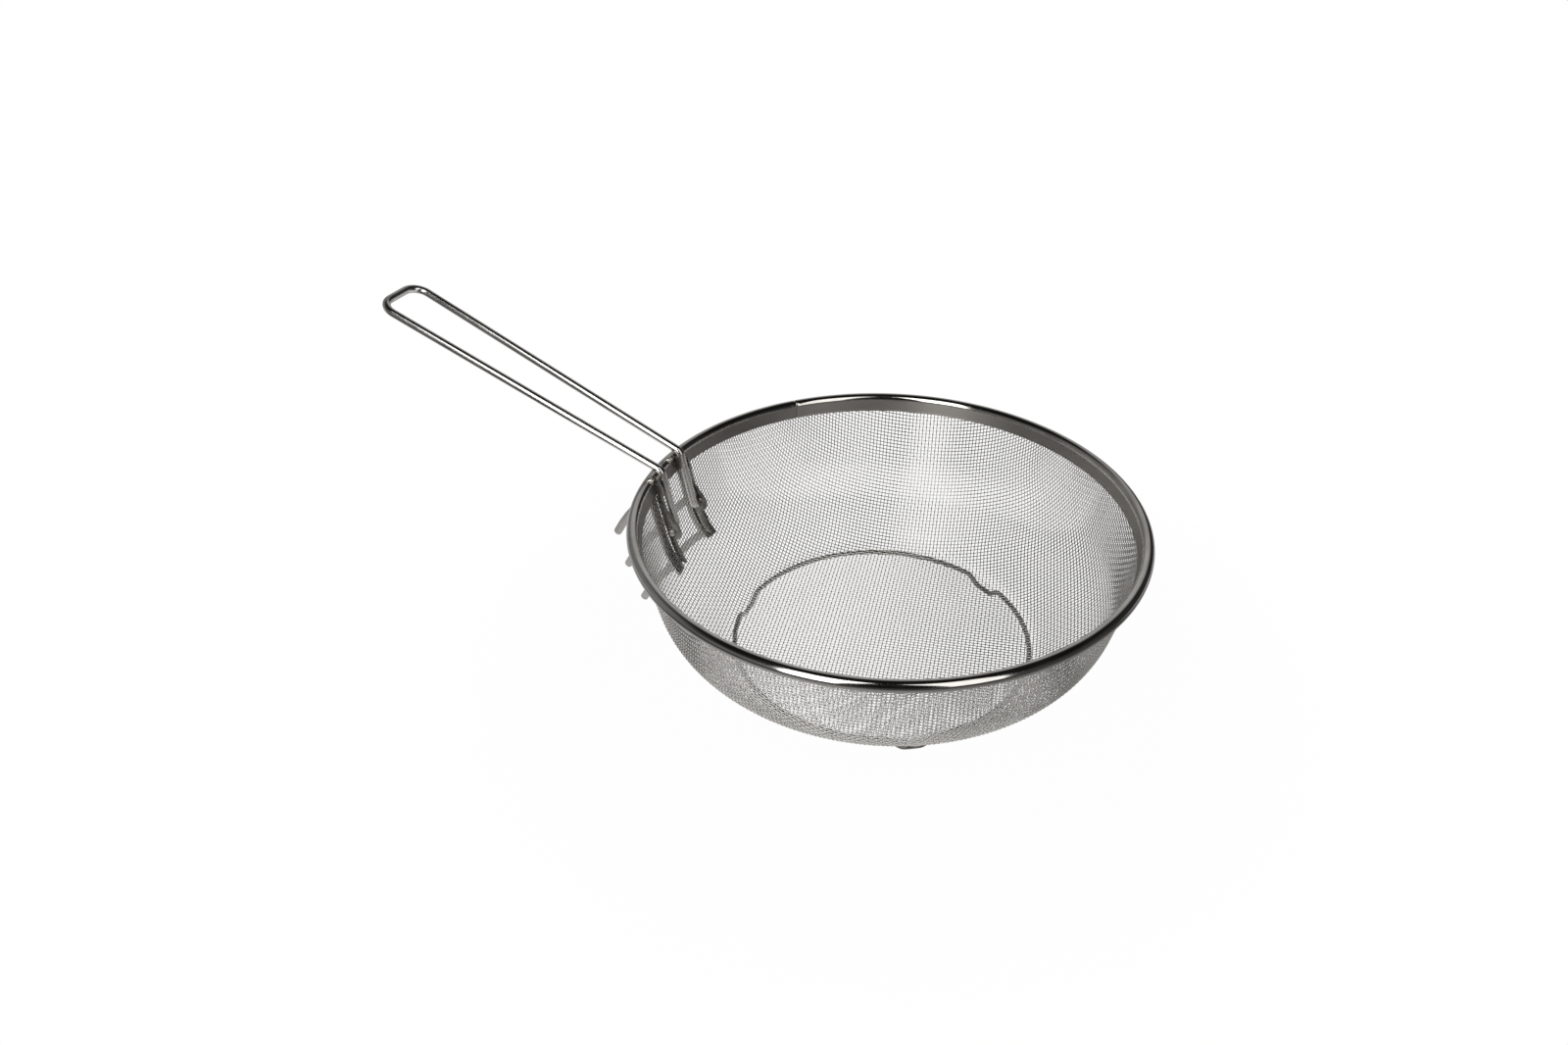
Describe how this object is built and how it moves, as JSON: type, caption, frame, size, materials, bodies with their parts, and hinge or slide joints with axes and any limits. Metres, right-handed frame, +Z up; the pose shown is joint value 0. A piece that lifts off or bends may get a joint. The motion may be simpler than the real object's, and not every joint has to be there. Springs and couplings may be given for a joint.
{
  "type": "frying basket",
  "caption": "Round wire-mesh frying basket with a rolled rim, a base ring with bent feet, pot hooks and a long wire handle that folds up and over into the bowl.",
  "frame": {"origin": "on the floor, under the middle of the whole object's length and width, handle included", "axes": "+Z up; the handle points along -X and the bowl is towards +X; the object is the same on both sides of Y = 0"},
  "size_m": [0.384, 0.24, 0.148],
  "materials": {
    "mesh_steel": "woven stainless wire",
    "rim_steel": "polished stainless sheet",
    "wire_steel": "bright drawn stainless wire",
    "sheet_steel": "stamped stainless sheet"
  },
  "bodies": {
    "basket": {"mesh_bowl": "mesh_steel", "rim_band": "rim_steel", "rim_core_wire": "wire_steel", "base_ring": "wire_steel", "hinge_ear_left": "sheet_steel", "hinge_ear_right": "sheet_steel", "hook_plate_left": "sheet_steel", "hook_plate_right": "sheet_steel"},
    "handle": {"handle_wire": "wire_steel"}
  },
  "joints": [
    {"name": "handle_fold", "type": "hinge", "parent": "basket", "child": "handle", "pos_m": [-0.0335, 0, 0.051], "axis": [0, 1, 0], "range_deg": [0, 150]}
  ]
}
